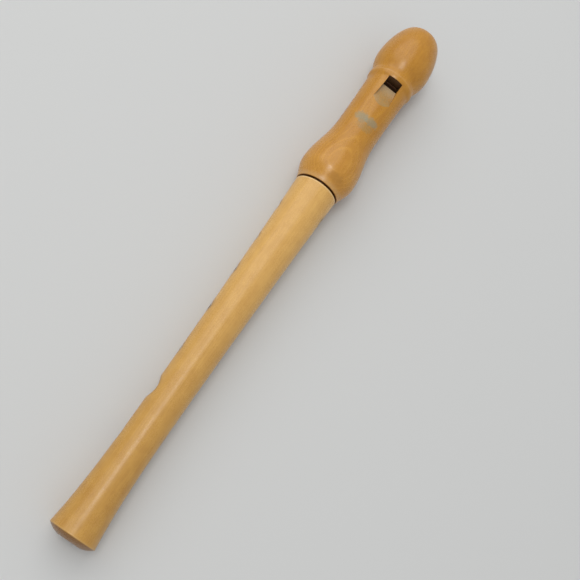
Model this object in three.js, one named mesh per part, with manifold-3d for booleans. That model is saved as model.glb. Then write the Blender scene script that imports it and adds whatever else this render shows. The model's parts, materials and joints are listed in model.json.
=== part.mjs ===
// Soprano recorder: a wooden school flute in two turned joints, with its cedar block and its tenon cork.
// Lengths are in millimetres. The instrument is drawn along +X, from the foot's end face (x = 0) to the
// beak's tip, with the bore on the X axis and the window facing +Z. It is then leant so that it lies on
// the floor, and moved so that the origin is the bottom centre of its bounding box.
import * as THREE from 'three';
import { ConvexGeometry } from 'three/addons/geometries/ConvexGeometry.js';
import { mergeVertices } from 'three/addons/utils/BufferGeometryUtils.js';
import Module from 'manifold-3d';

// ---- Driving dimensions ----
const overallLength = 327;
const sides = 32; // facets around every turned surface
const drillSides = 24; // facets around every drilled hole
const scoopSides = 48; // and around the wide cutters of the scoops
const hollowSides = 96; // and around the much wider cutter of the beak's hollow
const overrun = 1; // how far a cutter passes the face that it leaves through

// A station on a turned outline has its distance from the foot's end face, its radius, and its slope: how
// fast the radius grows there along the bore.
const body = {
  throat: { x: 62, radius: 9.46, slope: 0 }, // the slimmest point
  shoulder: { x: 211, radius: 12.1, slope: 0.035 }, // where the head stops
};

const foot = {
  rim: { x: 2.9, radius: 12.2, slope: -0.145 }, // the sharp edge between the flared side and the domed end
  domeCorner: { x: 0.7, radius: 9.7 },
  faceRadius: 6.3, // outer edge of the flat ring around the bore
};

const bore = {
  footRadius: 5.1, // the body's bore narrows towards the foot
  topRadius: 6.3,
  headRadius: 6.75, // the head's bore is straight
};

const tenon = {
  length: 19,
  radius: 9.35,
  lip: 1.8, // wooden ring on each side of the cork
  corkSeatRadius: 8.2,
  endChamfer: 0.6,
};

const socket = {
  radius: 9.65,
  tuningGap: 1, // how far the head is drawn out for tuning
  spareDepth: 1, // room left beyond the tenon when the head is pushed home
  mouthChamfer: 0.5,
};

const cork = {
  innerClearance: 0.1, // between the cork and its seat
  outerClearance: 0.12, // between the cork and the socket
  endClearance: 0.2, // between the cork and each lip
};

const head = {
  mouthX: body.shoulder.x + socket.tuningGap, // the end face around the socket
  mouthEase: 0.6, // rounding of the mouth's outer edge
  rim: { x: 212.6, radius: 12.6, slope: 0.26 },
  bulge: { x: 223.6, radius: 15.8, slope: 0 }, // the swelling around the socket
  waist: { x: 255, radius: 12.05, slope: 0 },
  neck: { x: 284.7, radius: 12.5, slope: 0.03 }, // where the neck meets the bead
  bead: { x: 288.9, radius: 13.55, slope: 0 },
  beadEase: 1.6, // rounding from the bead towards the crease
  crease: { x: 291.9, radius: 13.2, slope: 0.07 }, // the groove between the bead and the beak
  beak: { x: 303.2, radius: 15.9, slope: 0 }, // the widest point of the beak
  tip: { x: 325.4, radius: 10.25, slope: -0.79 }, // where the end starts to turn in
  tipCornerRadius: 9,
  tipFaceRadius: 7.8,
};

const beakCut = {
  radius: 40, // the hollow for the lower lip is a round cut
  startX: 299, // where it leaves the beak's lowest line
  lipZ: -0.6, // lowest edge of the tip after the cut
};

const windway = {
  halfWidth: 4.4,
  entryFloorZ: 4.35, // at the tip
  exitFloorZ: 5.45, // at the window
  entryHeight: 1.3,
  exitHeight: 1.05,
};

const mouth = {
  windowX: 286.7, // the windway's exit
  cutUp: 3.2, // from the windway's exit to the labium's edge
  edgeThickness: 0.35,
  rampSlope: THREE.MathUtils.degToRad(19.6),
  rampFlare: THREE.MathUtils.degToRad(4),
  rampLength: 18, // of the cutter, which leaves the neck before its end
  undersideLength: 12, // the labium's underside is cut flat for this far
  undersideDrop: 1, // and this much lower at its far end
};

const blockClearance = 0.15; // between the cedar block and the head around it
const windowTwist = THREE.MathUtils.degToRad(96); // finger holes, measured from the window towards +Y

// Finger holes by distance from the foot's end face. A pair is drilled side by side in one scoop.
const fingerHoles = [
  { x: 191.8, radius: 2.5 },
  { x: 171, radius: 2.6 },
  { x: 150.2, radius: 2.8 },
  { x: 126.8, radius: 2.9 },
  { x: 101.1, radius: 2.5 },
];
const doubleHoles = [
  { x: 78.4, turn: 0 },
  { x: 52, turn: THREE.MathUtils.degToRad(24) }, // set round for the little finger
];
const pair = { radii: [1.35, 1.8], spacing: 4.6 }; // the wider one is nearer the right hand's palm
const scoop = { depth: 1.6, radius: 12 };
const thumbHole = { x: 197.5, radius: 2.6, turn: Math.PI };

// ---- Materials ----
function wood(name, colour, roughness) {
  return new THREE.MeshStandardMaterial({ name, color: colour, roughness, metalness: 0 });
}

const materials = {
  bodyWood: wood('body_wood', 0xd6a05c, 0.42),
  headWood: wood('head_wood', 0xcb8f45, 0.4),
  cedar: wood('cedar', 0xb0683c, 0.7),
  cork: wood('cork', 0xb98a5c, 0.9),
};

// ---- Solids ----
const wasm = await Module();
wasm.setup();
const weld = 1e-4; // corners closer than this are one corner

function solidOf(geometry) {
  const bare = geometry.clone();
  bare.deleteAttribute('normal');
  bare.deleteAttribute('uv');
  const merged = mergeVertices(bare, weld);
  return new wasm.Manifold(new wasm.Mesh({
    numProp: 3,
    vertProperties: Float32Array.from(merged.attributes.position.array),
    triVerts: Uint32Array.from(merged.index.array),
  }));
}

function geometryOf(solid) {
  const mesh = solid.getMesh();
  const geometry = new THREE.BufferGeometry();
  geometry.setAttribute('position', new THREE.BufferAttribute(mesh.vertProperties, mesh.numProp));
  geometry.setIndex(new THREE.BufferAttribute(mesh.triVerts, 1));
  geometry.computeVertexNormals();
  return geometry;
}

// Turns a closed outline, drawn as (distance along the bore, radius), around the X axis.
// Flat facets, not corners, face straight up, down and sideways.
function turned(outline) {
  const profile = outline.map((point) => new THREE.Vector2(point.y, point.x));
  const geometry = new THREE.LatheGeometry(profile, sides, Math.PI / sides);
  geometry.rotateZ(-Math.PI / 2);
  return geometry;
}

// A cylinder lying along X between two stations.
function plug(fromX, toX, radius) {
  return turned([
    new THREE.Vector2(fromX, 0),
    new THREE.Vector2(fromX, radius),
    new THREE.Vector2(toX, radius),
    new THREE.Vector2(toX, 0),
  ]);
}

// A drill that enters from outside at a given turn around the bore, measured from +Z towards +Y.
// Its offset moves it sideways, around the instrument.
function drill({ x, radius, turn, offset = 0, reach = head.bulge.radius }) {
  const geometry = new THREE.CylinderGeometry(radius, radius, reach, drillSides);
  geometry.translate(0, reach / 2, 0);
  geometry.rotateX(Math.PI / 2);
  geometry.translate(x, offset, 0);
  geometry.rotateX(-turn);
  return geometry;
}

// A wide round cutter lying across the body: it leaves a shallow scoop.
function scoopCutter({ x, turn }) {
  const surfaceRadius = bodyRadiusAt(x);
  const length = 4 * surfaceRadius;
  const geometry = new THREE.CylinderGeometry(scoop.radius, scoop.radius, length, scoopSides);
  geometry.translate(x, 0, surfaceRadius - scoop.depth + scoop.radius);
  geometry.rotateX(-turn);
  return geometry;
}

// A solid with flat faces around the given corners.
function facetedSolid(corners) {
  return new ConvexGeometry(corners.map(([x, y, z]) => new THREE.Vector3(x, y, z)));
}

// ---- Outlines, as (distance along the bore, radius) ----
const flareSteps = 9;
const curveSteps = 7;
const cornerSteps = 3;

// A smooth curve between two stations. Each share is the part of its length that keeps to that end's slope.
function sweep(from, to, leavingShare, arrivingShare) {
  const leaving = leavingShare * (to.x - from.x);
  const arriving = arrivingShare * (to.x - from.x);
  return new THREE.CubicBezierCurve(
    new THREE.Vector2(from.x, from.radius),
    new THREE.Vector2(from.x + leaving, from.radius + leaving * from.slope),
    new THREE.Vector2(to.x - arriving, to.radius - arriving * to.slope),
    new THREE.Vector2(to.x, to.radius),
  );
}

// A rounded corner between two points of an outline.
function rounding(from, corner, to) {
  const points = [from, corner, to].map(({ x, radius }) => new THREE.Vector2(x, radius));
  return new THREE.QuadraticBezierCurve(...points);
}

const footDome = rounding({ x: 0, radius: foot.faceRadius }, foot.domeCorner, foot.rim);
const footFlare = sweep(foot.rim, body.throat, 0.2, 0.47);
const bodySide = sweep(body.throat, body.shoulder, 0.26, 0.32);

// The body's outer radius at a distance from the foot's end face.
function bodyRadiusAt(x) {
  const curve = x < body.throat.x ? footFlare : bodySide;
  let low = 0;
  let high = 1;
  while (high - low > weld) {
    const middle = (low + high) / 2;
    if (curve.getPoint(middle).x < x) {
      low = middle;
    } else {
      high = middle;
    }
  }
  return curve.getPoint(low).y;
}

function joinCurves(pieces) {
  const points = [];
  for (const [curve, steps] of pieces) {
    for (const point of curve.getPoints(steps)) {
      if (points.length === 0 || point.distanceTo(points[points.length - 1]) > weld) {
        points.push(point);
      }
    }
  }
  return points;
}

function headSide() {
  const mouthInner = { x: head.mouthX, radius: head.rim.radius - head.mouthEase };
  const mouthCorner = { x: head.mouthX, radius: head.rim.radius };
  const beadCorner = { x: head.bead.x + head.beadEase, radius: head.bead.radius };
  const tipCorner = { x: overallLength, radius: head.tipCornerRadius };
  const tipFace = { x: overallLength, radius: head.tipFaceRadius };
  return joinCurves([
    [rounding(mouthInner, mouthCorner, head.rim), cornerSteps],
    [sweep(head.rim, head.bulge, 0.32, 0.41), curveSteps],
    [sweep(head.bulge, head.waist, 0.37, 0.51), flareSteps],
    [sweep(head.waist, head.neck, 0.31, 0.36), cornerSteps],
    [sweep(head.neck, head.bead, 0.46, 0.46), cornerSteps + 1],
    [rounding(head.bead, beadCorner, head.crease), cornerSteps],
    [sweep(head.crease, head.beak, 0.24, 0.53), curveSteps],
    [sweep(head.beak, head.tip, 0.37, 0.19), flareSteps],
    [rounding(head.tip, tipCorner, tipFace), cornerSteps],
  ]);
}

// ---- Body joint: flared foot, seven finger holes, thumb hole and tenon ----
function tenonOutline() {
  const endX = body.shoulder.x + tenon.length;
  const seatStart = body.shoulder.x + tenon.lip;
  const seatEnd = endX - tenon.lip;
  return [
    new THREE.Vector2(body.shoulder.x, tenon.radius),
    new THREE.Vector2(seatStart, tenon.radius),
    new THREE.Vector2(seatStart, tenon.corkSeatRadius),
    new THREE.Vector2(seatEnd, tenon.corkSeatRadius),
    new THREE.Vector2(seatEnd, tenon.radius),
    new THREE.Vector2(endX - tenon.endChamfer, tenon.radius),
    new THREE.Vector2(endX, tenon.radius - tenon.endChamfer),
    new THREE.Vector2(endX, bore.topRadius),
  ];
}

function bodyBlank() {
  const side = joinCurves([
    [footDome, cornerSteps + 1],
    [footFlare, flareSteps],
    [bodySide, flareSteps],
  ]);
  const mouthOfBore = new THREE.Vector2(0, bore.footRadius);
  return turned([mouthOfBore, ...side, ...tenonOutline(), mouthOfBore]);
}

function bodyJoint() {
  let solid = solidOf(bodyBlank());
  for (const hole of fingerHoles) {
    solid = solid.subtract(solidOf(drill({ ...hole, turn: windowTwist })));
  }
  for (const { x, turn } of doubleHoles) {
    const direction = windowTwist + turn;
    solid = solid.subtract(solidOf(scoopCutter({ x, turn: direction })));
    pair.radii.forEach((radius, side) => {
      const offset = (side - 0.5) * pair.spacing;
      solid = solid.subtract(solidOf(drill({ x, radius, turn: direction, offset })));
    });
  }
  const thumb = drill({ ...thumbHole, turn: windowTwist + thumbHole.turn });
  return geometryOf(solid.subtract(solidOf(thumb)));
}

// ---- Tenon cork: a plain sleeve between the tenon's two lips ----
function tenonCork() {
  const startX = body.shoulder.x + tenon.lip + cork.endClearance;
  const endX = body.shoulder.x + tenon.length - tenon.lip - cork.endClearance;
  const innerRadius = tenon.corkSeatRadius + cork.innerClearance;
  const outerRadius = socket.radius - cork.outerClearance;
  const start = new THREE.Vector2(startX, innerRadius);
  return turned([
    start,
    new THREE.Vector2(startX, outerRadius),
    new THREE.Vector2(endX, outerRadius),
    new THREE.Vector2(endX, innerRadius),
    start,
  ]);
}

// ---- Head joint: socket, window and labium, windway roof and beak ----
function headBlank() {
  const socketEnd = body.shoulder.x + tenon.length + socket.tuningGap + socket.spareDepth;
  const start = new THREE.Vector2(head.mouthX, socket.radius + socket.mouthChamfer);
  return turned([
    start,
    ...headSide(),
    new THREE.Vector2(overallLength, bore.headRadius),
    new THREE.Vector2(socketEnd, bore.headRadius),
    new THREE.Vector2(socketEnd, socket.radius),
    new THREE.Vector2(head.mouthX + socket.mouthChamfer, socket.radius),
    start,
  ]);
}

// Height of the windway's floor at a distance from the foot's end face, on one straight slope.
function windwayFloorAt(x) {
  const slope = (windway.entryFloorZ - windway.exitFloorZ) / (overallLength - mouth.windowX);
  return windway.exitFloorZ + slope * (x - mouth.windowX);
}

function windwayRoofAt(x) {
  const along = (x - mouth.windowX) / (overallLength - mouth.windowX);
  const height = THREE.MathUtils.lerp(windway.exitHeight, windway.entryHeight, along);
  return windwayFloorAt(x) + height;
}

// The channel in the head above the block. It stops at the bore's wall, so it adds no room beside the
// block.
function windwayCutter() {
  const pastTip = overallLength + overrun;
  const corners = [];
  for (const x of [mouth.windowX - overrun, pastTip]) {
    for (const y of [-windway.halfWidth, windway.halfWidth]) {
      corners.push([x, y, windwayFloorAt(x)], [x, y, windwayRoofAt(x)]);
    }
  }
  return facetedSolid(corners);
}

// The window, and the ramp that rises from the labium's edge to the neck's surface and widens on its way.
function windowCutter() {
  const edgeX = mouth.windowX - mouth.cutUp;
  const edgeZ = windwayRoofAt(mouth.windowX) + mouth.edgeThickness;
  const above = head.bulge.radius;
  const rampEndX = edgeX - mouth.rampLength;
  const rampEndZ = edgeZ + mouth.rampLength * Math.tan(mouth.rampSlope);
  const rampEndHalf = windway.halfWidth + mouth.rampLength * Math.tan(mouth.rampFlare);
  const corners = [];
  for (const side of [-1, 1]) {
    corners.push([edgeX, side * windway.halfWidth, edgeZ], [edgeX, side * windway.halfWidth, above]);
    corners.push([rampEndX, side * rampEndHalf, rampEndZ], [rampEndX, side * rampEndHalf, above]);
  }
  return facetedSolid(corners);
}

function mouthCutter() {
  const edgeX = mouth.windowX - mouth.cutUp;
  const corners = [];
  for (const x of [edgeX, mouth.windowX]) {
    for (const y of [-windway.halfWidth, windway.halfWidth]) {
      corners.push([x, y, bore.headRadius / 2], [x, y, head.bulge.radius]);
    }
  }
  return facetedSolid(corners);
}

// Planes the labium's underside flat, a little deeper than the bore, so that its edge is thin all along.
function undersideCutter() {
  const roof = windwayRoofAt(mouth.windowX);
  const startX = mouth.windowX - mouth.cutUp - mouth.undersideLength;
  const corners = [];
  for (const y of [-windway.halfWidth, windway.halfWidth]) {
    corners.push([startX, y, bore.headRadius / 2], [startX, y, roof - mouth.undersideDrop]);
    corners.push([mouth.windowX, y, bore.headRadius / 2], [mouth.windowX, y, roof]);
  }
  return facetedSolid(corners);
}

// The round hollow under the beak, as a cylinder lying across it. It passes through the start of the cut
// on the beak's lowest line and through the lip under the tip.
function beakCutter() {
  const start = new THREE.Vector2(beakCut.startX, -head.beak.radius);
  const lip = new THREE.Vector2(overallLength, beakCut.lipZ);
  const chord = lip.clone().sub(start);
  const middle = start.clone().add(lip).multiplyScalar(0.5);
  const reach = Math.sqrt(beakCut.radius ** 2 - chord.lengthSq() / 4);
  const outward = new THREE.Vector2(chord.y, -chord.x).normalize();
  const centre = middle.addScaledVector(outward, reach);
  const length = 4 * head.beak.radius;
  const geometry = new THREE.CylinderGeometry(beakCut.radius, beakCut.radius, length, hollowSides);
  geometry.translate(centre.x, 0, centre.y);
  return geometry;
}

function headJoint() {
  const beak = solidOf(beakCutter());
  const cutters = [windwayCutter(), windowCutter(), mouthCutter(), undersideCutter()];
  let solid = solidOf(headBlank());
  for (const cutter of cutters) {
    solid = solid.subtract(solidOf(cutter));
  }
  return geometryOf(solid.subtract(beak));
}

// ---- Fipple block: the cedar plug that leaves the windway above it ----
function blockTopCutter() {
  const corners = [];
  for (const x of [mouth.windowX - overrun, overallLength + overrun]) {
    for (const y of [-2 * bore.headRadius, 2 * bore.headRadius]) {
      corners.push([x, y, windwayFloorAt(x)], [x, y, head.beak.radius]);
    }
  }
  return facetedSolid(corners);
}

function fippleBlock() {
  const blank = plug(mouth.windowX, overallLength, bore.headRadius - blockClearance);
  const solid = solidOf(blank).subtract(solidOf(blockTopCutter())).subtract(solidOf(beakCutter()));
  return geometryOf(solid);
}

// ---- Assembly ----
function named(name, geometry, material) {
  const mesh = new THREE.Mesh(geometry, material);
  mesh.name = name;
  return mesh;
}

const instrument = new THREE.Group();
instrument.add(named('body_joint', bodyJoint(), materials.bodyWood));
instrument.add(named('tenon_cork', tenonCork(), materials.cork));
instrument.add(named('head_joint', headJoint(), materials.headWood));
instrument.add(named('fipple_block', fippleBlock(), materials.cedar));

// Lying down, it touches the floor at the foot's rim and under the socket's swelling.
const flatShare = Math.cos(Math.PI / sides); // how far out a facet's middle is, against its corners
const rise = (head.bulge.radius - foot.rim.radius) * flatShare;
const lean = Math.asin(rise / (head.bulge.x - foot.rim.x));
instrument.rotation.y = -lean;

const recorder = new THREE.Group();
recorder.add(instrument);
recorder.updateMatrixWorld(true);
const box = new THREE.Box3().setFromObject(recorder, true);
const middle = box.getCenter(new THREE.Vector3());
instrument.position.set(-middle.x, -middle.y, -box.min.z);

export default recorder;
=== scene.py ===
"""Looks of the soprano recorder: fine turned meshes, and wood, cedar and cork materials.

Sizes are in millimetres in the instrument's own frame, as in the CAD source: X runs along the bore from the
foot's end face, the window faces +Z, and angles around the bore are measured from +Z towards +Y. Each piece
is built there and then carried into the row frame, in metres.
"""

import json
import math
from collections import namedtuple
from types import SimpleNamespace as Sizes

import bmesh
import bpy
import numpy as np
from mathutils import Matrix, Vector


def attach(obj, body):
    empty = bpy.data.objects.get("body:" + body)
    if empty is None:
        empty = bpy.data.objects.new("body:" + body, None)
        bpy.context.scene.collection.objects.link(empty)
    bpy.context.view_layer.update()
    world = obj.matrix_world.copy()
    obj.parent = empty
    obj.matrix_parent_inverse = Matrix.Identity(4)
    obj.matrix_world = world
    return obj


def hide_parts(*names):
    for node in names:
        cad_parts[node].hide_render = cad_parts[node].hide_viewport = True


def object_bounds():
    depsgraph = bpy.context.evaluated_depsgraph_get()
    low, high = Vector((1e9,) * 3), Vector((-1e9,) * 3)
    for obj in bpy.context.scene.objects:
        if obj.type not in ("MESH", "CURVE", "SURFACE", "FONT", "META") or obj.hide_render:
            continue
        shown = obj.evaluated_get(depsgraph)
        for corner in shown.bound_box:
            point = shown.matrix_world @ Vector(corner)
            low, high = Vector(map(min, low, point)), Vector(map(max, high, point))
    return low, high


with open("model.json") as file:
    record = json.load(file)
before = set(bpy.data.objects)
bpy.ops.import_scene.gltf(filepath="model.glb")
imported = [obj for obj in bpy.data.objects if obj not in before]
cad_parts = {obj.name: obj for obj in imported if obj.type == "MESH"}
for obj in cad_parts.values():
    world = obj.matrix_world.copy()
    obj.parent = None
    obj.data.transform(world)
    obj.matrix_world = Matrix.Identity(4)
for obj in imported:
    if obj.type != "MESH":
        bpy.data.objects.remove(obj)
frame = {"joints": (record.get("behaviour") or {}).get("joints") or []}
cad_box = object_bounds()

# ---- Driving dimensions, as in the CAD source ----
# A station on a turned outline has its distance along the bore, its radius and its slope.
Station = namedtuple("Station", "x radius slope", defaults=[0])
overall_length = 327
body = Sizes(throat=Station(62, 9.46), shoulder=Station(211, 12.1, 0.035))
foot = Sizes(rim=Station(2.9, 12.2, -0.145), dome_corner=Station(0.7, 9.7), face_radius=6.3)
bore = Sizes(foot_radius=5.1, top_radius=6.3, head_radius=6.75)
tenon = Sizes(length=19, radius=9.35, lip=1.8, seat_radius=8.2, end_chamfer=0.6)
socket = Sizes(radius=9.65, tuning_gap=1, spare_depth=1, mouth_chamfer=0.5)
cork = Sizes(inner_clearance=0.1, outer_clearance=0.12, end_clearance=0.2)
head = Sizes(
    mouth_x=212, mouth_ease=0.6, rim=Station(212.6, 12.6, 0.26), bulge=Station(223.6, 15.8),
    waist=Station(255, 12.05), neck=Station(284.7, 12.5, 0.03), bead=Station(288.9, 13.55), bead_ease=1.6,
    crease=Station(291.9, 13.2, 0.07), beak=Station(303.2, 15.9), tip=Station(325.4, 10.25, -0.79),
    tip_corner_radius=9, tip_face_radius=7.8,
)
beak_cut = Sizes(radius=40, start_x=299, lip_z=-0.6)
windway = Sizes(half_width=4.4, entry_floor=4.35, exit_floor=5.45, entry_height=1.3, exit_height=1.05)
mouth = Sizes(
    window_x=286.7, cut_up=3.2, edge_thickness=0.35, ramp_slope=math.radians(19.6),
    ramp_flare=math.radians(4), ramp_length=18, underside_length=12,
)
block_clearance = 0.15
window_twist = math.radians(96)
socket_end = body.shoulder.x + tenon.length + socket.tuning_gap + socket.spare_depth
labium_x = mouth.window_x - mouth.cut_up
single_holes = [(191.8, 2.5), (171, 2.6), (150.2, 2.8), (126.8, 2.9), (101.1, 2.5)]
double_holes = [(78.4, 0.0), (52, math.radians(24))]
pair = Sizes(radii=(1.35, 1.8), spacing=4.6)
scoop = Sizes(depth=1.6, radius=12, ease=0.5)
thumb_hole = (197.5, 2.6)

# ---- Fineness of the meshes ----
sides = 256
hole_sides = 72
coarse_step = 1.4
fine_step = 0.3
sharp_angle = math.radians(34)


# ---- The instrument's frame ----
def instrument_frame():
    """Matrix from the instrument's frame to the row frame, both in metres."""
    turn = next(joint for joint in frame["joints"] if joint["name"] == "head_turn")
    along = Vector(turn["axis"]).normalized()
    across = Vector((0, 1, 0))
    up = along.cross(across)
    start = Vector(turn["pos_m"]) - along * body.shoulder.x / 1000
    return Matrix.Translation(start) @ Matrix((along, across, up)).transposed().to_4x4()


place = instrument_frame()


# ---- Outlines, as (station, radius) ----
def curve(*controls, steps):
    """Points along a Bezier curve, both ends included."""
    points = []
    for step in range(steps + 1):
        rest = [Vector(control) for control in controls]
        while len(rest) > 1:
            rest = [a.lerp(b, step / steps) for a, b in zip(rest, rest[1:])]
        points.append(rest[0])
    return points


def joined(*runs):
    """One list of points from several runs that meet end to end."""
    points = []
    for point in (Vector(point) for run in runs for point in run):
        if not points or (point - points[-1]).length > 1e-3:
            points.append(point)
    return points


def eased(before, corner, after, size, steps=4):
    """A small rounding in place of a corner, reaching the given distance along both of its sides."""
    before, corner, after = Vector(before), Vector(corner), Vector(after)
    start = corner + (before - corner).normalized() * size
    end = corner + (after - corner).normalized() * size
    return curve(start, corner, end, steps=steps)


def sweep(start, end, leaving_share, arriving_share, steps):
    """A smooth curve between two stations. Each share is the part of its length that keeps to that
    end's slope."""
    leaving = leaving_share * (end.x - start.x)
    arriving = arriving_share * (end.x - start.x)
    return curve(
        (start.x, start.radius), (start.x + leaving, start.radius + leaving * start.slope),
        (end.x - arriving, end.radius - arriving * end.slope), (end.x, end.radius), steps=steps,
    )


def rounding(start, corner, end, steps):
    """A rounded corner between two stations."""
    return curve(start[:2], corner[:2], end[:2], steps=steps)


foot_dome = rounding(Station(0, foot.face_radius), foot.dome_corner, foot.rim, 12)
foot_flare = sweep(foot.rim, body.throat, 0.2, 0.47, 200)
body_side = sweep(body.throat, body.shoulder, 0.26, 0.32, 400)
body_line = np.array(joined(foot_flare, body_side))


def body_radius(x):
    """Turned radius of the body's outside, without the scoops."""
    return float(np.interp(x, body_line[:, 0], body_line[:, 1]))


def scoop_floor(hole_x, x):
    """Height of a scoop's bottom above the bore's axis."""
    reach = max(scoop.radius**2 - (x - hole_x) ** 2, 0)
    return body_radius(hole_x) - scoop.depth + scoop.radius - math.sqrt(reach)


def smooth_min(a, b, ease):
    """The smaller of two values, blended where they are closer than ease."""
    overlap = max(ease - abs(a - b), 0)
    return min(a, b) - overlap**2 / (4 * ease)


def body_surface(x, angle):
    """Radius of the body's outside with the scoops."""
    radius = body_radius(x)
    for hole_x, turn in double_holes:
        facing = math.cos(angle - window_twist - turn)
        if abs(x - hole_x) < scoop.radius and facing > 0.3:
            radius = smooth_min(radius, scoop_floor(hole_x, x) / facing, scoop.ease)
    return radius


# ---- Meshes ----
def mesh_piece(name, points, faces):
    mesh = bpy.data.meshes.new(name)
    mesh.from_pydata([tuple(point) for point in points], [], faces)
    mesh.update()
    piece = bpy.data.objects.new(name, mesh)
    bpy.context.scene.collection.objects.link(piece)
    return piece


def around(x, radius, angle):
    """The point at a station, a radius and an angle around the bore."""
    return (x, radius * math.sin(angle), radius * math.cos(angle))


def turned(name, outline, surface=None):
    """A ring-shaped solid: a closed outline turned around the bore. Where an outline point has True as
    a third value, surface(x, angle) gives its radius."""
    points = []
    faces = []
    count = len(outline)
    for side in range(sides):
        angle = math.tau * side / sides
        for x, radius, shaped in outline:
            points.append(around(x, surface(x, angle) if shaped else radius, angle))
        here = side * count
        there = (side + 1) % sides * count
        for step in range(count):
            after = (step + 1) % count
            faces.append((here + step, there + step, there + after, here + after))
    return mesh_piece(name, points, faces)


def plain(points):
    """Outline points whose radius is as drawn."""
    return [(point[0], point[1], False) for point in points]


def ringed_solid(name, rings):
    """A solid through a stack of rings of points, closed at both ends."""
    points = [point for ring in rings for point in ring]
    count = len(rings[0])
    faces = []
    for level in range(len(rings) - 1):
        for step in range(count):
            after = (step + 1) % count
            low, high = level * count, (level + 1) * count
            faces.append((low + step, low + after, high + after, high + step))
    faces.append(tuple(reversed(range(count))))
    faces.append(tuple(range((len(rings) - 1) * count, len(rings) * count)))
    return mesh_piece(name, points, faces)


def faceted_solid(name, corners):
    """The convex solid around the given corners."""
    piece = mesh_piece(name, [], [])
    shape = bmesh.new()
    for corner in corners:
        shape.verts.new(corner)
    hull = bmesh.ops.convex_hull(shape, input=shape.verts)
    loose = [item for item in hull["geom_interior"] if isinstance(item, bmesh.types.BMVert)]
    bmesh.ops.delete(shape, geom=loose, context="VERTS")
    bmesh.ops.recalc_face_normals(shape, faces=shape.faces)
    shape.to_mesh(piece.data)
    shape.free()
    return piece


def face_outwards(piece):
    """Turns every face's normal outwards."""
    shape = bmesh.new()
    shape.from_mesh(piece.data)
    bmesh.ops.recalc_face_normals(shape, faces=shape.faces)
    shape.to_mesh(piece.data)
    shape.free()


def carve(piece, cutters):
    """Cuts the cutters out of a piece, one after another, and removes them."""
    for cutter in cutters:
        face_outwards(cutter)
        cut = piece.modifiers.new(cutter.name, "BOOLEAN")
        cut.operation = "DIFFERENCE"
        cut.solver = "MANIFOLD"
        cut.object = cutter
    bpy.context.view_layer.update()
    shown = piece.evaluated_get(bpy.context.evaluated_depsgraph_get())
    piece.data = bpy.data.meshes.new_from_object(shown)
    piece.modifiers.clear()
    for cutter in cutters:
        bpy.data.objects.remove(cutter)


def drill(name, x, radius, turn, offset=0.0, rim=0.4, surface=None):
    """A cutter for a hole whose rim follows the outside and is worn round, and which widens inwards."""
    undercut = 0.35
    straight_depth = 1.6
    rim_steps = 4
    direction = Matrix.Rotation(-turn, 3, "X")

    def height(along, sideways):
        top = math.sqrt(body_radius(along) ** 2 - sideways**2)
        return min(top, surface(along)) if surface else top

    def ring(distance, depth, level=None):
        points = []
        for step in range(hole_sides):
            angle = math.tau * step / hole_sides
            along = x + distance * math.cos(angle)
            sideways = offset + distance * math.sin(angle)
            top = height(along, sideways) - depth if level is None else level
            points.append(direction @ Vector((along, sideways, top)))
        return points

    inside = bore.foot_radius * 0.6
    rings = [ring(radius + undercut, 0, inside), ring(radius, straight_depth), ring(radius, rim)]
    for step in range(1, rim_steps + 1):
        bend = math.radians(60) * step / rim_steps
        rings.append(ring(radius + rim * (1 - math.cos(bend)), rim * (1 - math.sin(bend))))
    rings.append(ring(radius + rim * 2.6, -rim * 1.1))
    return ringed_solid(name, rings)


# ---- Body joint ----
def body_outline():
    """The closed outline, from the bore's mouth in the foot, over the outside and the tenon, and back."""
    before_shoulder = 200
    rim_edge = eased(foot_dome[-2], foot_dome[-1], foot_flare[8], 0.28)
    shoulder_edge = eased(
        (before_shoulder, body_radius(before_shoulder)), body.shoulder[:2],
        (body.shoulder.x, bore.foot_radius), 0.45, 6,
    )
    outline = plain(eased((1, bore.foot_radius), (0, bore.foot_radius), (0, foot.face_radius), 0.5))
    outline += plain(foot_dome[:-1])
    outline += plain(rim_edge)
    outline += [(x, 0, True) for x in body_stations(rim_edge[-1].x + 0.6, shoulder_edge[0].x - 0.4)]
    outline += plain(shoulder_edge)
    return outline + plain(tenon_outline()) + plain(tapered_bore())


def tenon_outline():
    """The tenon, with the cork's seat between two wooden lips."""
    root_fillet = 0.25
    lip_ease = 0.15
    end_x = body.shoulder.x + tenon.length
    seat_start = body.shoulder.x + tenon.lip
    seat_end = end_x - tenon.lip
    chamfer_start = (end_x - tenon.end_chamfer, tenon.radius)
    tip = (end_x, tenon.radius - tenon.end_chamfer)
    bore_mouth = (end_x, bore.top_radius)
    outline = [
        (body.shoulder.x, tenon.radius + root_fillet), (body.shoulder.x + root_fillet, tenon.radius),
        (seat_start - lip_ease, tenon.radius), (seat_start, tenon.radius - lip_ease),
        (seat_start, tenon.seat_radius), (seat_end, tenon.seat_radius),
        (seat_end, tenon.radius - lip_ease), (seat_end + lip_ease, tenon.radius),
    ]
    outline += eased((seat_end, tenon.radius), chamfer_start, tip, 0.2)
    outline += eased(chamfer_start, tip, bore_mouth, 0.2)
    outline += eased((end_x, tenon.radius), bore_mouth, (seat_start, bore.top_radius), 0.3)
    return outline


def tapered_bore():
    """Points down the body's bore, between its two ends."""
    steps = 12
    end_x = body.shoulder.x + tenon.length
    taper = bore.foot_radius - bore.top_radius
    shares = [step / steps for step in range(1, steps)]
    return [(end_x * (1 - share), bore.top_radius + taper * share) for share in shares]


def body_stations(start, end):
    """Stations along the body, close together where the scoops are."""
    x = start
    found = []
    while x < end:
        found.append(x)
        near = min(abs(x - hole_x) for hole_x, _ in double_holes) < scoop.radius * 0.75
        x += fine_step if near else coarse_step
    return found + [end]


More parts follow.
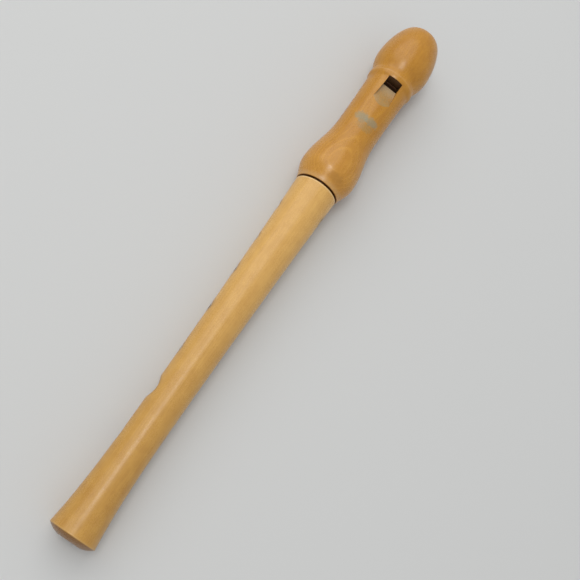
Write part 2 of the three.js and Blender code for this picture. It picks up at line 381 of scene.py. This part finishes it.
def body_joint():
    piece = turned("body_joint_fine", body_outline(), body_surface)
    cutters = [drill(f"hole_{x}", x, radius, window_twist) for x, radius in single_holes]
    cutters.append(drill("thumb", *thumb_hole, window_twist + math.pi))
    for x, turn in double_holes:
        for side, radius in enumerate(pair.radii):
            cutters.append(drill(
                f"pair_{x}_{side}", x, radius, window_twist + turn,
                offset=(side - 0.5) * pair.spacing, rim=0.26,
                surface=lambda along, hole_x=x: scoop_floor(hole_x, along),
            ))
    face_outwards(piece)
    carve(piece, cutters)
    return piece


# ---- Head joint ----
def head_outline():
    mouth_inner = Station(head.mouth_x, head.rim.radius - head.mouth_ease)
    mouth_corner = Station(head.mouth_x, head.rim.radius)
    bead_corner = Station(head.bead.x + head.bead_ease, head.bead.radius)
    tip_corner = Station(overall_length, head.tip_corner_radius)
    tip_face = Station(overall_length, head.tip_face_radius)
    outside = joined(
        rounding(mouth_inner, mouth_corner, head.rim, 6),
        sweep(head.rim, head.bulge, 0.32, 0.41, 24),
        sweep(head.bulge, head.waist, 0.37, 0.51, 36),
        sweep(head.waist, head.neck, 0.31, 0.36, 24),
        sweep(head.neck, head.bead, 0.46, 0.46, 14),
        rounding(head.bead, bead_corner, head.crease, 10),
        sweep(head.crease, head.beak, 0.24, 0.53, 26),
        sweep(head.beak, head.tip, 0.37, 0.19, 36),
        rounding(head.tip, tip_corner, tip_face, 10),
    )
    corner_size = 0.3
    inside = [
        (overall_length, bore.head_radius), (socket_end + corner_size, bore.head_radius),
        (socket_end, bore.head_radius + corner_size), (socket_end, socket.radius),
        (head.mouth_x + socket.mouth_chamfer, socket.radius),
        (head.mouth_x + 0.1, socket.radius + socket.mouth_chamfer),
        (head.mouth_x, socket.radius + socket.mouth_chamfer + 0.15),
    ]
    return plain(outside) + plain(inside)


def windway_floor(x):
    slope = (windway.entry_floor - windway.exit_floor) / (overall_length - mouth.window_x)
    return windway.exit_floor + slope * (x - mouth.window_x)


def windway_roof(x):
    share = (x - mouth.window_x) / (overall_length - mouth.window_x)
    return windway_floor(x) + windway.exit_height + (windway.entry_height - windway.exit_height) * share


labium_z = windway_roof(mouth.window_x) + mouth.edge_thickness


def across_window(x, half_width, *heights):
    """Corners at a station, on both sides of the middle plane, at the given heights."""
    return [(x, side * half_width, height) for side in (-1, 1) for height in heights]


def head_cutters():
    """Cutters for the windway, the ramp, the window, the labium's underside and the beak's hollow."""
    half = windway.half_width
    past = overall_length + 1
    inlet = mouth.window_x
    ramp_x = labium_x - mouth.ramp_length
    ramp_z = labium_z + mouth.ramp_length * math.tan(mouth.ramp_slope)
    ramp_half = half + mouth.ramp_length * math.tan(mouth.ramp_flare)
    under_x = labium_x - mouth.underside_length
    roof_z = windway_roof(inlet)
    above = head.bulge.radius
    low = bore.head_radius / 2
    ends = {
        "windway": (
            (inlet - 0.5, half, windway_floor(inlet), roof_z),
            (past, half, windway_floor(past), windway_roof(past)),
        ),
        "ramp": ((labium_x, half, labium_z, above), (ramp_x, ramp_half, ramp_z, above)),
        "window": ((labium_x, half, low, above), (inlet, half, low, above)),
        "underside": ((under_x, half, low, roof_z - 1), (inlet, half, low, roof_z)),
    }
    cutters = [
        faceted_solid(name, across_window(*first) + across_window(*last))
        for name, (first, last) in ends.items()
    ]
    return cutters + [beak_hollow()]


def beak_hollow():
    """The round hollow under the beak, as a cylinder lying across it."""
    hollow_sides = 360
    start = Vector((beak_cut.start_x, -head.beak.radius))
    lip = Vector((overall_length, beak_cut.lip_z))
    chord = lip - start
    reach = math.sqrt(beak_cut.radius**2 - chord.length_squared / 4)
    centre = (start + lip) / 2 + Vector((chord.y, -chord.x)).normalized() * reach
    rings = []
    for y in (-2 * head.beak.radius, 2 * head.beak.radius):
        rings.append([
            (centre.x + beak_cut.radius * math.cos(math.tau * step / hollow_sides), y,
             centre.y + beak_cut.radius * math.sin(math.tau * step / hollow_sides))
            for step in range(hollow_sides)
        ])
    return ringed_solid("beak_hollow", rings)


def head_joint():
    piece = turned("head_joint_fine", head_outline())
    face_outwards(piece)
    carve(piece, head_cutters())
    return piece


# ---- Fipple block ----
def fipple_block():
    radius = bore.head_radius - block_clearance
    outline = [(mouth.window_x, radius), (overall_length, radius)]
    rings = [[around(x, r, math.tau * step / sides) for step in range(sides)] for x, r in outline]
    piece = ringed_solid("fipple_block_fine", rings)
    face_outwards(piece)
    wide = 2 * bore.head_radius
    above = head.beak.radius
    corners = []
    for x in (mouth.window_x - 1, overall_length + 1):
        corners += across_window(x, wide, windway_floor(x), above)
    carve(piece, [faceted_solid("block_top", corners), beak_hollow()])
    return piece


# ---- Tenon cork ----
def tenon_cork():
    start = body.shoulder.x + tenon.lip + cork.end_clearance
    end = body.shoulder.x + tenon.length - tenon.lip - cork.end_clearance
    inner = tenon.seat_radius + cork.inner_clearance
    outer = socket.radius - cork.outer_clearance
    outline = plain([(start, inner)])
    outline += plain(eased((start, inner), (start, outer), (end, outer), 0.4))
    outline += plain([(start + (end - start) * share, outer) for share in (0.25, 0.5, 0.75)])
    outline += plain(eased((start, outer), (end, outer), (end, inner), 0.4))
    outline += plain([(end, inner)])
    piece = turned("tenon_cork_fine", outline)
    face_outwards(piece)
    return piece


# ---- Shader nodes ----
class Shading:
    """A material and short ways to add its nodes."""

    def __init__(self, name):
        self.material = bpy.data.materials.new(name)
        self.material.use_nodes = True
        self.tree = self.material.node_tree
        self.shader = self.tree.nodes["Principled BSDF"]
        coordinates = self.tree.nodes.new("ShaderNodeTexCoord").outputs["Object"]
        self.spot = self.node(
            "ShaderNodeMapping", vector_type="TEXTURE", Vector=coordinates,
            Location=place.to_translation(), Rotation=place.to_euler(), Scale=(0.001,) * 3,
        ).outputs[0]
        self.x, self.y, self.z = self.node("ShaderNodeSeparateXYZ", Vector=self.spot).outputs

    def node(self, kind, **settings):
        """Adds a node. A setting named like a property sets it, and any other goes to the input."""
        made = self.tree.nodes.new(kind)
        for name, value in settings.items():
            if name in made.bl_rna.properties:
                setattr(made, name, value)
        for name, value in settings.items():
            if name not in made.bl_rna.properties:
                self.feed(made.inputs[name.replace("_", " ")], value)
        return made

    def feed(self, target, value):
        """Links an output to an input, or sets the input's value."""
        if isinstance(value, bpy.types.NodeSocket):
            self.tree.links.new(value, target)
        else:
            target.default_value = value

    def maths(self, operation, a, b=0.5, clamp=False):
        made = self.tree.nodes.new("ShaderNodeMath")
        made.operation = operation
        made.use_clamp = clamp
        self.feed(made.inputs[0], a)
        self.feed(made.inputs[1], b)
        return made.outputs[0]

    def vector(self, operation, a, b=(0, 0, 0), output="Vector"):
        made = self.tree.nodes.new("ShaderNodeVectorMath")
        made.operation = operation
        self.feed(made.inputs[0], a)
        self.feed(made.inputs[1], b)
        return made.outputs[output]

    def stretched(self, scale, turn=0.0, shift=(0, 0, 0)):
        """The spot, turned around the bore and scaled along each axis."""
        return self.node(
            "ShaderNodeMapping", vector_type="POINT", Vector=self.spot,
            Location=shift, Rotation=(turn, 0, 0), Scale=scale,
        ).outputs[0]

    def noise(self, vector, scale=1.0, detail=2.0, roughness=0.5):
        return self.node(
            "ShaderNodeTexNoise", Vector=vector, Scale=scale, Detail=detail, Roughness=roughness,
        ).outputs["Fac"]

    def between(self, value, low, high, to_low=0.0, to_high=1.0):
        """Maps low..high to to_low..to_high with soft ends."""
        return self.node(
            "ShaderNodeMapRange", interpolation_type="SMOOTHSTEP", Value=value,
            From_Min=low, From_Max=high, To_Min=to_low, To_Max=to_high,
        ).outputs[0]

    def ramp(self, value, *stops):
        """A value that follows (position, height) stops."""
        made = self.tree.nodes.new("ShaderNodeValToRGB")
        self.feed(made.inputs[0], value)
        points = made.color_ramp.elements
        while len(points) < len(stops):
            points.new(0.5)
        for point, (position, height) in zip(points, stops):
            point.position = position
            point.color = (height, height, height, 1)
        return made.outputs[0]

    def band(self, start, end, soft):
        """1 between two stations along the bore, with soft ends."""
        rising = self.between(self.x, start - soft, start + soft)
        return self.maths("MULTIPLY", rising, self.between(self.x, end - soft, end + soft, 1, 0))

    def patch(self, centre, half_sizes, soft, rough):
        """1 inside a rounded patch around a point, with a soft and ragged edge."""
        away = self.vector("SUBTRACT", self.spot, centre)
        away = self.vector("DIVIDE", away, half_sizes)
        reach = self.vector("LENGTH", away, output="Value")
        ragged = self.maths("SUBTRACT", self.noise(self.spot, 0.7, 4, 0.65), 0.5)
        reach = self.maths("ADD", reach, self.maths("MULTIPLY", ragged, rough))
        return self.between(reach, 1 - soft, 1 + soft, 1, 0)

    def mix(self, share, a, b):
        """Colour a where the share is 0, and colour b where it is 1."""
        made = self.tree.nodes.new("ShaderNodeMix")
        made.data_type = "RGBA"
        self.feed(made.inputs[0], share)
        for target, value in ((made.inputs[6], a), (made.inputs[7], b)):
            self.feed(target, (*value, 1) if isinstance(value, tuple) else value)
        return made.outputs[2]

    def bump(self, height, distance):
        """A normal that follows a height, where a height of 1 stands the distance in millimetres proud."""
        return self.node("ShaderNodeBump", Height=height, Distance=distance / 1000, Strength=1.0).outputs[0]

    def stain(self, colour, share, amount, tint):
        """Lays a tint over a colour where share is 1, at the given strength; it lays stains and wear, and
        painted light and shade.
        """
        return self.mix(self.maths("MULTIPLY", share, amount), colour, tint)

    def finish(self, colour, roughness, normal):
        self.feed(self.shader.inputs["Base Color"], colour)
        self.feed(self.shader.inputs["Roughness"], roughness)
        self.feed(self.shader.inputs["Normal"], normal)
        return self.material


# ---- Materials ----
def growth_layers(s, layers, seed):
    """How dark the growth layers are, with pale lines between them, fading in and out in patches."""
    pith_distance = 60
    wander = s.noise(s.stretched((0.008, 0.04, 0.04), shift=(seed, 0, 0)), detail=2)
    ripple = s.noise(s.stretched((0.05, 0.16, 0.16), shift=(0, seed, 0)), detail=2)
    from_pith = s.stretched((0, 1, 1), turn=layers.turn, shift=(0, 0, pith_distance))
    depth = s.vector("LENGTH", from_pith, output="Value")
    for bend, amount in ((s.x, layers.tilt), (wander, 1.4), (ripple, 0.35)):
        depth = s.maths("ADD", depth, s.maths("MULTIPLY", bend, amount))
    layer = s.maths("FRACT", s.maths("DIVIDE", depth, layers.gap))
    late = s.ramp(layer, (0.0, 0.0), (0.2, 0.64), (0.85, 0.76), (1.0, 0.0))
    patches = s.noise(s.stretched((0.04, 0.15, 0.15), shift=(1, 2, seed)), detail=2)
    strength = s.maths("MULTIPLY", s.between(patches, 0.3, 0.65, 0.3, 1), layers.strength)
    return s.maths("MULTIPLY", s.maths("SUBTRACT", late, 0.6), strength)


def grain(s, pale, deep, layers, streaks=0.3, seed=0.0):
    """Wood figure: growth layers, long streaks, fibres, short pores and slow changes of tone.
    Layers have a turn around the bore, a gap, a tilt and a strength.
    Returns the colour and the height of the fibres."""
    late = growth_layers(s, layers, seed)
    streak = s.noise(s.stretched((0.018, 1.1, 1.1), shift=(seed, 5, 0)), detail=4, roughness=0.6)
    fibre = s.noise(s.stretched((0.1, 3.4, 3.4), shift=(seed, 2, 4)), detail=4, roughness=0.65)
    pore = s.between(s.noise(s.stretched((0.3, 7, 7), shift=(seed, 0, 7)), detail=2), 0.6, 0.72)
    mottle = s.noise(s.stretched((0.16, 0.2, 0.2), shift=(0, 0, seed)), detail=5, roughness=0.65)
    share = s.maths("ADD", late, s.between(streak, 0.3, 0.72, 0, streaks))
    share = s.maths("ADD", share, s.between(fibre, 0.3, 0.75, 0, streaks * 0.8))
    share = s.maths("ADD", share, s.maths("MULTIPLY", pore, 0.12))
    share = s.maths("ADD", share, s.between(mottle, 0.3, 0.72, -0.02, 0.26), clamp=True)
    height = s.maths("SUBTRACT", s.maths("MULTIPLY", fibre, 0.6), s.maths("MULTIPLY", pore, 0.4))
    return s.mix(share, pale, deep), height


def handled(s, soil, seed):
    """Roughness of oiled wood: smoother where hands polish it, duller where it is soiled."""
    smear = s.noise(s.stretched((0.04, 0.12, 0.12), shift=(seed, 1, 2)), detail=3)
    specks = s.noise(s.stretched((1.2, 2.4, 2.4), shift=(seed, 0, 0)), detail=2)
    roughness = s.maths("ADD", s.between(smear, 0.3, 0.7, 0.21, 0.3), s.between(specks, 0.4, 0.7, 0, 0.06))
    return s.maths("ADD", roughness, s.maths("MULTIPLY", soil, 0.2), clamp=True)


def rims_of(s, holes, reach):
    """1 at the rims of holes, each (station, radius, angle), fading over the reach."""
    nearest = None
    for x, radius, angle in holes:
        centre = around(x, body_radius(x), angle)
        gap = s.maths("SUBTRACT", s.vector("DISTANCE", s.spot, centre, "Value"), radius)
        nearest = gap if nearest is None else s.maths("MINIMUM", nearest, gap)
    return s.between(nearest, 0, reach, 1, 0)


def worn(s, share, amount):
    """Breaks a share up into patches, as wear and dirt are."""
    patchy = s.between(s.noise(s.stretched((0.5, 0.5, 0.5)), detail=4, roughness=0.6), 0.3, 0.6, 0.35, 1)
    return s.maths("MULTIPLY", s.maths("MULTIPLY", share, patchy), amount)


def body_wood():
    """Pale wood, darker towards the foot, with soiled hole rims, end grain on the dome deepened by painted
    shade, a pale line on the foot's rim and one on the shoulder, each partly wear and partly painted
    highlight, and painted shade as a dark ring in the tuning gap."""
    soil_tint = (0.17, 0.075, 0.022)
    end_grain_and_shade = (0.18, 0.062, 0.002)
    rim_wear_and_highlight = (0.72, 0.47, 0.18)
    shoulder_wear_and_highlight = (0.82, 0.57, 0.27)
    gap_shade = (0.17, 0.06, 0.01)
    rim = foot.rim.x
    shoulder = body.shoulder.x
    s = Shading("body_wood_fine")
    towards_head = s.between(s.x, 10, 190)
    pale = s.mix(towards_head, (0.61, 0.335, 0.073), (0.785, 0.463, 0.135))
    deep = s.mix(towards_head, (0.395, 0.172, 0.028), (0.555, 0.277, 0.062))
    layers = Sizes(turn=math.radians(60), gap=0.9, tilt=0.0, strength=0.1)
    colour, height = grain(s, pale, deep, layers, 0.2, seed=2.0)
    holes = [(x, radius, window_twist) for x, radius in single_holes]
    holes += [(x, pair.spacing, window_twist + turn) for x, turn in double_holes]
    holes.append((*thumb_hole, window_twist + math.pi))
    soil = worn(s, rims_of(s, holes, 3.2), 0.55)
    colour = s.stain(colour, soil, 1, soil_tint)
    # End grain on the foot's dome, darkened past its own tone by painted shade for the dome's side away
    # from the light.
    colour = s.stain(colour, s.band(-1, rim - 0.25, 0.15), 0.78, end_grain_and_shade)
    # Pale line on the foot's rim: partly rubbed wear, partly a painted highlight along the ridge.
    colour = s.stain(colour, worn(s, s.band(rim - 0.15, rim + 0.45, 0.2), 0.4), 1, rim_wear_and_highlight)
    # Pale line before the shoulder: partly rubbed wear, partly a painted highlight on its rounded edge.
    colour = s.stain(colour, worn(s, s.band(shoulder - 0.9, shoulder - 0.2, 0.2), 0.8), 1, shoulder_wear_and_highlight)
    # Painted shade: a near-black ring on the tenon's lip stands in for the shade in the tuning gap.
    colour = s.stain(colour, s.band(shoulder - 0.02, shoulder + tenon.lip + 0.5, 0.02), 0.94, gap_shade)
    return s.finish(colour, handled(s, soil, 2.0), s.bump(height, 0.02))


def ramp_plane(s):
    """1 on the ramp that leads to the labium's edge."""
    from_edge = s.maths("SUBTRACT", labium_x, s.x)
    rise = s.maths("MULTIPLY", from_edge, math.tan(mouth.ramp_slope))
    away = s.maths("ABSOLUTE", s.maths("SUBTRACT", s.z, s.maths("ADD", rise, labium_z)))
    spread = s.maths("MULTIPLY", from_edge, math.tan(mouth.ramp_flare))
    beside = s.maths("SUBTRACT", s.maths("ABSOLUTE", s.y), s.maths("ADD", spread, windway.half_width))
    return s.maths("MULTIPLY", s.between(away, 0.03, 0.1, 1, 0), s.between(beside, 0.05, 0.12, 1, 0))


def scraped_ramp(s, colour):
    """The ramp's bare wood, in tool marks, and painted light that makes it paler near the labium's edge."""
    bare_tint = (0.38, 0.26, 0.11)
    edge_light_tint = (0.62, 0.47, 0.28)
    lit_length = 9
    ramp = ramp_plane(s)
    marks = s.noise(s.stretched((0.35, 0.9, 0.9)), detail=4, roughness=0.6)
    colour = s.stain(colour, ramp, s.between(marks, 0.3, 0.7, 0.4, 0.8), bare_tint)
    # Painted light: the ramp is brightened towards the labium's edge, lifting the shade that its walls
    # cast.
    lit_near_edge = s.maths("MULTIPLY", ramp, s.between(s.x, labium_x - lit_length, labium_x))
    return s.stain(colour, lit_near_edge, 0.8, edge_light_tint)


def ink_smudges(s, colour):
    """Worn blue-grey ink on the waist, as plain blots: station, angle, half sizes, strength and tint."""
    smudges = (
        (256.6, 18, (2.7, 3.8, 3.8), 0.58, (0.23, 0.275, 0.195)),
        (256.9, -13, (2.5, 3.6, 3.6), 0.55, (0.22, 0.28, 0.22)),
        (252.3, -4, (2.4, 4.6, 4.6), 0.42, (0.32, 0.24, 0.11)),
    )
    for x, angle, half_sizes, amount, tint in smudges:
        ink = s.patch(around(x, head.waist.radius, math.radians(angle)), half_sizes, 0.4, 1.8)
        colour = s.stain(colour, ink, amount, tint)
    return colour


def head_wood():
    """Redder wood with growth rings on the socket's swelling, a pale soft rim, painted shade on the end
    face, a stain beside the rim and a pale line on the bead that is a painted highlight."""
    rim_tint = (0.60, 0.36, 0.15)
    end_face_shade = (0.17, 0.06, 0.01)
    stain_tint = (0.31, 0.12, 0.012)
    bead_highlight = (0.74, 0.44, 0.16)
    stain_centre = around(217.3, 14.2, math.radians(-17))
    rings_fade = (246, 284)
    s = Shading("head_wood_fine")
    strength = s.between(s.x, *rings_fade, 0.64, 0.12)
    layers = Sizes(turn=math.radians(-2), gap=1.3, tilt=0.045, strength=strength)
    towards_beak = s.between(s.x, 218, head.waist.x)
    pale = s.mix(towards_beak, (0.66, 0.325, 0.052), (0.585, 0.275, 0.03))
    deep = s.mix(towards_beak, (0.46, 0.18, 0.016), (0.40, 0.15, 0.011))
    colour, height = grain(s, pale, deep, layers, 0.24, seed=9.0)
    colour = s.stain(colour, worn(s, s.band(head.mouth_x - 1, head.rim.x + 1.6, 1.2), 0.5), 1, rim_tint)
    # Painted shade: the head's end face, seen in the tuning gap, is painted near-black.
    colour = s.stain(colour, s.between(s.x, head.mouth_x, head.mouth_x + 0.08, 1, 0), 0.95, end_face_shade)
    blotch = s.patch(stain_centre, (2.4, 4.2, 3.4), 0.6, 1.2)
    colour = s.stain(colour, blotch, 0.32, stain_tint)
    # Painted highlight: a pale line on the bead's back slope, where it faces the light.
    colour = s.stain(colour, s.band(head.bead.x + 0.1, head.bead.x + 1.0, 0.5), 0.25, bead_highlight)
    colour = scraped_ramp(s, ink_smudges(s, colour))
    return s.finish(colour, handled(s, 0.0, 9.0), s.bump(height, 0.02))


def shaded_inner_wood():
    """Dark wood inside the bore, the socket, the holes and the windway, partly the bore's own darker wood
    and partly painted shade, a little warmer in the window.
    """
    window_shade_tint = (0.10, 0.05, 0.022)
    s = Shading("inner_wood_fine")
    layers = Sizes(turn=math.radians(30), gap=0.8, tilt=0.0, strength=0.3)
    # Painted shade: these inside colours are far darker than the outside wood and stand in for the shade
    # down the bore, the holes and the window.
    colour, height = grain(s, (0.10, 0.048, 0.018), (0.045, 0.02, 0.008), layers, seed=4.0)
    colour = s.stain(colour, s.band(labium_x - 1, mouth.window_x + 1, 0.3), 0.8, window_shade_tint)
    return s.finish(colour, handled(s, 0.5, 4.0), s.bump(height, 0.03))


def cedar_wood():
    """Red cedar, painted dark next to the window as the shade in the window's recess."""
    block_shade_tint = (0.16, 0.07, 0.028)
    s = Shading("cedar_fine")
    layers = Sizes(turn=math.radians(80), gap=0.9, tilt=0.0, strength=0.4)
    colour, height = grain(s, (0.40, 0.18, 0.085), (0.22, 0.085, 0.038), layers, seed=6.0)
    near_window = s.between(s.x, mouth.window_x + 0.5, mouth.window_x + 6, 1, 0)
    # Painted shade: the block is darkened where it shows inside the window.
    colour = s.stain(colour, near_window, 0.9, block_shade_tint)
    return s.finish(colour, s.between(height, 0, 0.6, 0.7, 0.85), s.bump(height, 0.05))


def cork_skin():
    """Cork, in pale and dark cells."""
    s = Shading("cork_fine")
    cells = s.noise(s.stretched((1.2, 1.2, 1.2)), detail=6, roughness=0.7)
    colour = s.mix(s.between(cells, 0.35, 0.7), (0.52, 0.34, 0.18), (0.22, 0.12, 0.06))
    return s.finish(colour, 0.8, s.bump(cells, 0.08))


# ---- Camera, light and floor ----
def camera():
    """The camera stands over the foot and looks up the instrument, with its frame turned."""
    eye = place @ (Vector((7.65, 37.9, 428.4)) / 1000)
    aim = place @ (Vector((158.7, -18.6, -0.65)) / 1000)
    slant = math.radians(55.6)
    back = (eye - aim).normalized()
    along = place.to_3x3() @ Vector((1, 0, 0))
    along = (along - back * along.dot(back)).normalized()
    beside = back.cross(along)
    right = along * math.cos(slant) - beside * math.sin(slant)
    up = along * math.sin(slant) + beside * math.cos(slant)
    data = bpy.data.cameras.new("camera")
    data.sensor_width = 36
    data.lens = 55.862
    data.clip_start = 0.01
    made = bpy.data.objects.new("camera", data)
    bpy.context.scene.collection.objects.link(made)
    made.matrix_world = Matrix.Translation(eye) @ Matrix((right, up, back)).transposed().to_4x4()
    bpy.context.scene.camera = made


def softbox(name, direction, distance, size, power, colour):
    """A round soft light that faces the instrument."""
    middle = (cad_box[0] + cad_box[1]) / 2
    away = Vector(direction).normalized()
    data = bpy.data.lights.new(name, "AREA")
    data.shape = "DISK"
    data.size = size
    data.energy = power
    data.color = colour
    made = bpy.data.objects.new(name, data)
    bpy.context.scene.collection.objects.link(made)
    made.location = middle + away * distance
    made.rotation_euler = away.to_track_quat("Z", "Y").to_euler()


def studio():
    softbox("key", (0.6, 0.62, 1.0), 1.6, 2.0, 12, (1, 1, 1))
    softbox("lamp", (-0.1, 0.2, 1.0), 1.5, 0.5, 4.8, (1, 0.99, 0.97))
    softbox("fill", (-0.6, -0.8, 0.9), 2.0, 1.6, 0.7, (0.95, 0.97, 1))
    world = bpy.data.worlds.new("studio")
    world.use_nodes = True
    world.node_tree.nodes["Background"].inputs[0].default_value = (0.97, 0.98, 1, 1)
    world.node_tree.nodes["Background"].inputs[1].default_value = 0.46
    bpy.context.scene.world = world
    bpy.context.scene.view_settings.view_transform = "Standard"


def floor():
    """A plain pale floor, just below the instrument."""
    half = 6
    level = -0.0001
    corners = [(-half, -half, level), (half, -half, level), (half, half, level), (-half, half, level)]
    piece = mesh_piece("floor", corners, [(0, 1, 2, 3)])
    material = bpy.data.materials.new("floor_paint")
    material.use_nodes = True
    shader = material.node_tree.nodes["Principled BSDF"]
    shader.inputs["Base Color"].default_value = (0.655, 0.66, 0.65, 1)
    shader.inputs["Roughness"].default_value = 0.8
    piece.data.materials.append(material)


# ---- Pieces on their bodies ----
def fit(piece, node, body_name, outer, inner=None, is_inner=None):
    """Carries a finished piece into the row frame, paints it and stands it in for its CAD node."""
    piece.data.materials.clear()
    piece.data.materials.append(outer)
    if inner is not None:
        piece.data.materials.append(inner)
        for face in piece.data.polygons:
            face.material_index = int(is_inner(face.center))
    piece.data.shade_smooth()
    piece.data.set_sharp_from_angle(angle=sharp_angle)
    piece.data.transform(place @ Matrix.Scale(0.001, 4))
    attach(piece, body_name)
    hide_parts(node)


def inside_body(point):
    """Whether a face of the body is in the bore or down a hole, below the rim's outside wood."""
    rim_depth = 0.6
    x, y, z = point
    radius = math.hypot(y, z)
    if x > body.shoulder.x:
        return radius < bore.top_radius + 0.1
    if x < foot.rim.x:
        return radius < bore.foot_radius + 0.1
    return radius < body_surface(x, math.atan2(y, z)) - rim_depth


def inside_head(point):
    """Whether a face of the head is in the socket, the bore, the windway or the window."""
    x, y, z = point
    radius = math.hypot(y, z)
    if x < socket_end + 0.5:
        return radius < socket.radius + 0.1 and x > head.mouth_x
    across = abs(y) < windway.half_width + 0.01
    in_windway = across and windway_floor(x) < z < windway_roof(x) + 0.01 and x > mouth.window_x - 1
    in_window = across and labium_x + 0.01 < x < mouth.window_x + 0.01 and z > 0
    return radius < bore.head_radius + 0.05 or in_windway or in_window


camera()
studio()
floor()
inner = shaded_inner_wood()
fit(body_joint(), "body_joint", "body", body_wood(), inner, inside_body)
fit(head_joint(), "head_joint", "head", head_wood(), inner, inside_head)
fit(fipple_block(), "fipple_block", "head", cedar_wood())
fit(tenon_cork(), "tenon_cork", "cork", cork_skin())
